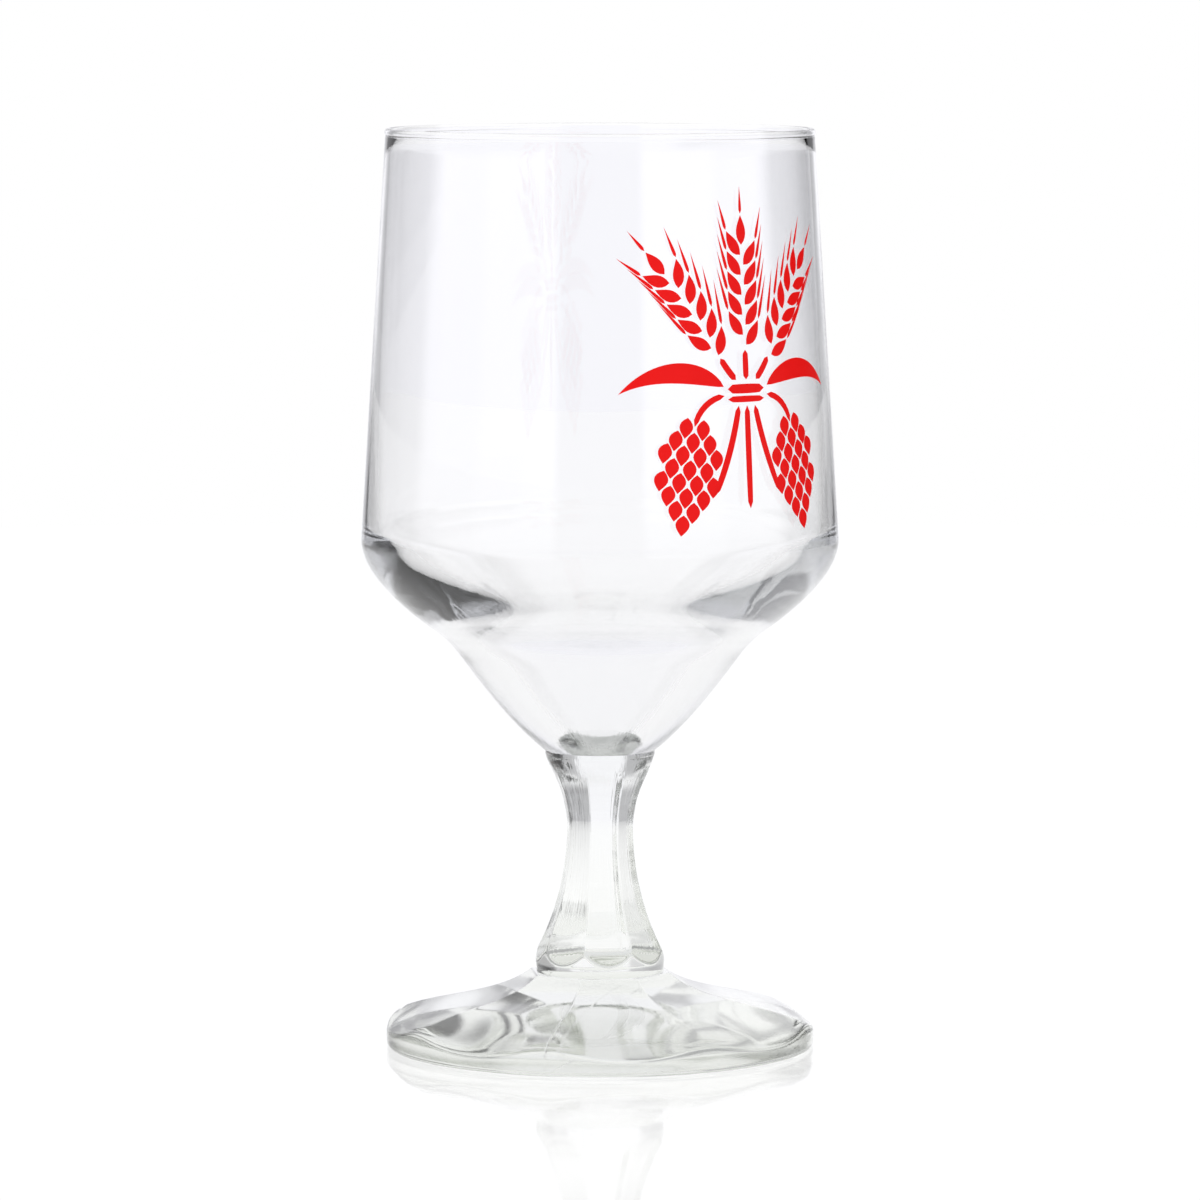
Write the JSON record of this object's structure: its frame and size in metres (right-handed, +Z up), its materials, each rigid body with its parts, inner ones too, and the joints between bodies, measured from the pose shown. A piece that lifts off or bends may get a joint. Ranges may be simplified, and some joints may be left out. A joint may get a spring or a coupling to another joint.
{
  "type": "stemmed beer glass",
  "caption": "Clear stemmed beer glass with a straight-sided bowl that widens to a thick rounded shoulder, a conical bottom, a fluted stem and a panelled round foot.",
  "frame": {"origin": "middle of the standing ring under the foot, on the table", "axes": "+Z up the axis of the glass, +X and +Y each square to a flute of the stem and a panel of the foot"},
  "size_m": [0.0762, 0.0762, 0.147],
  "materials": {
    "bowl_glass": "clear blown glass, fire-polished lip",
    "pressed_glass": "clear pressed glass, soft edges, faint green in the thick parts",
    "red_enamel": "fired glossy enamel print"
  },
  "bodies": {
    "root": {"bowl": "bowl_glass", "stem": "pressed_glass", "foot": "pressed_glass"}
  },
  "joints": []
}
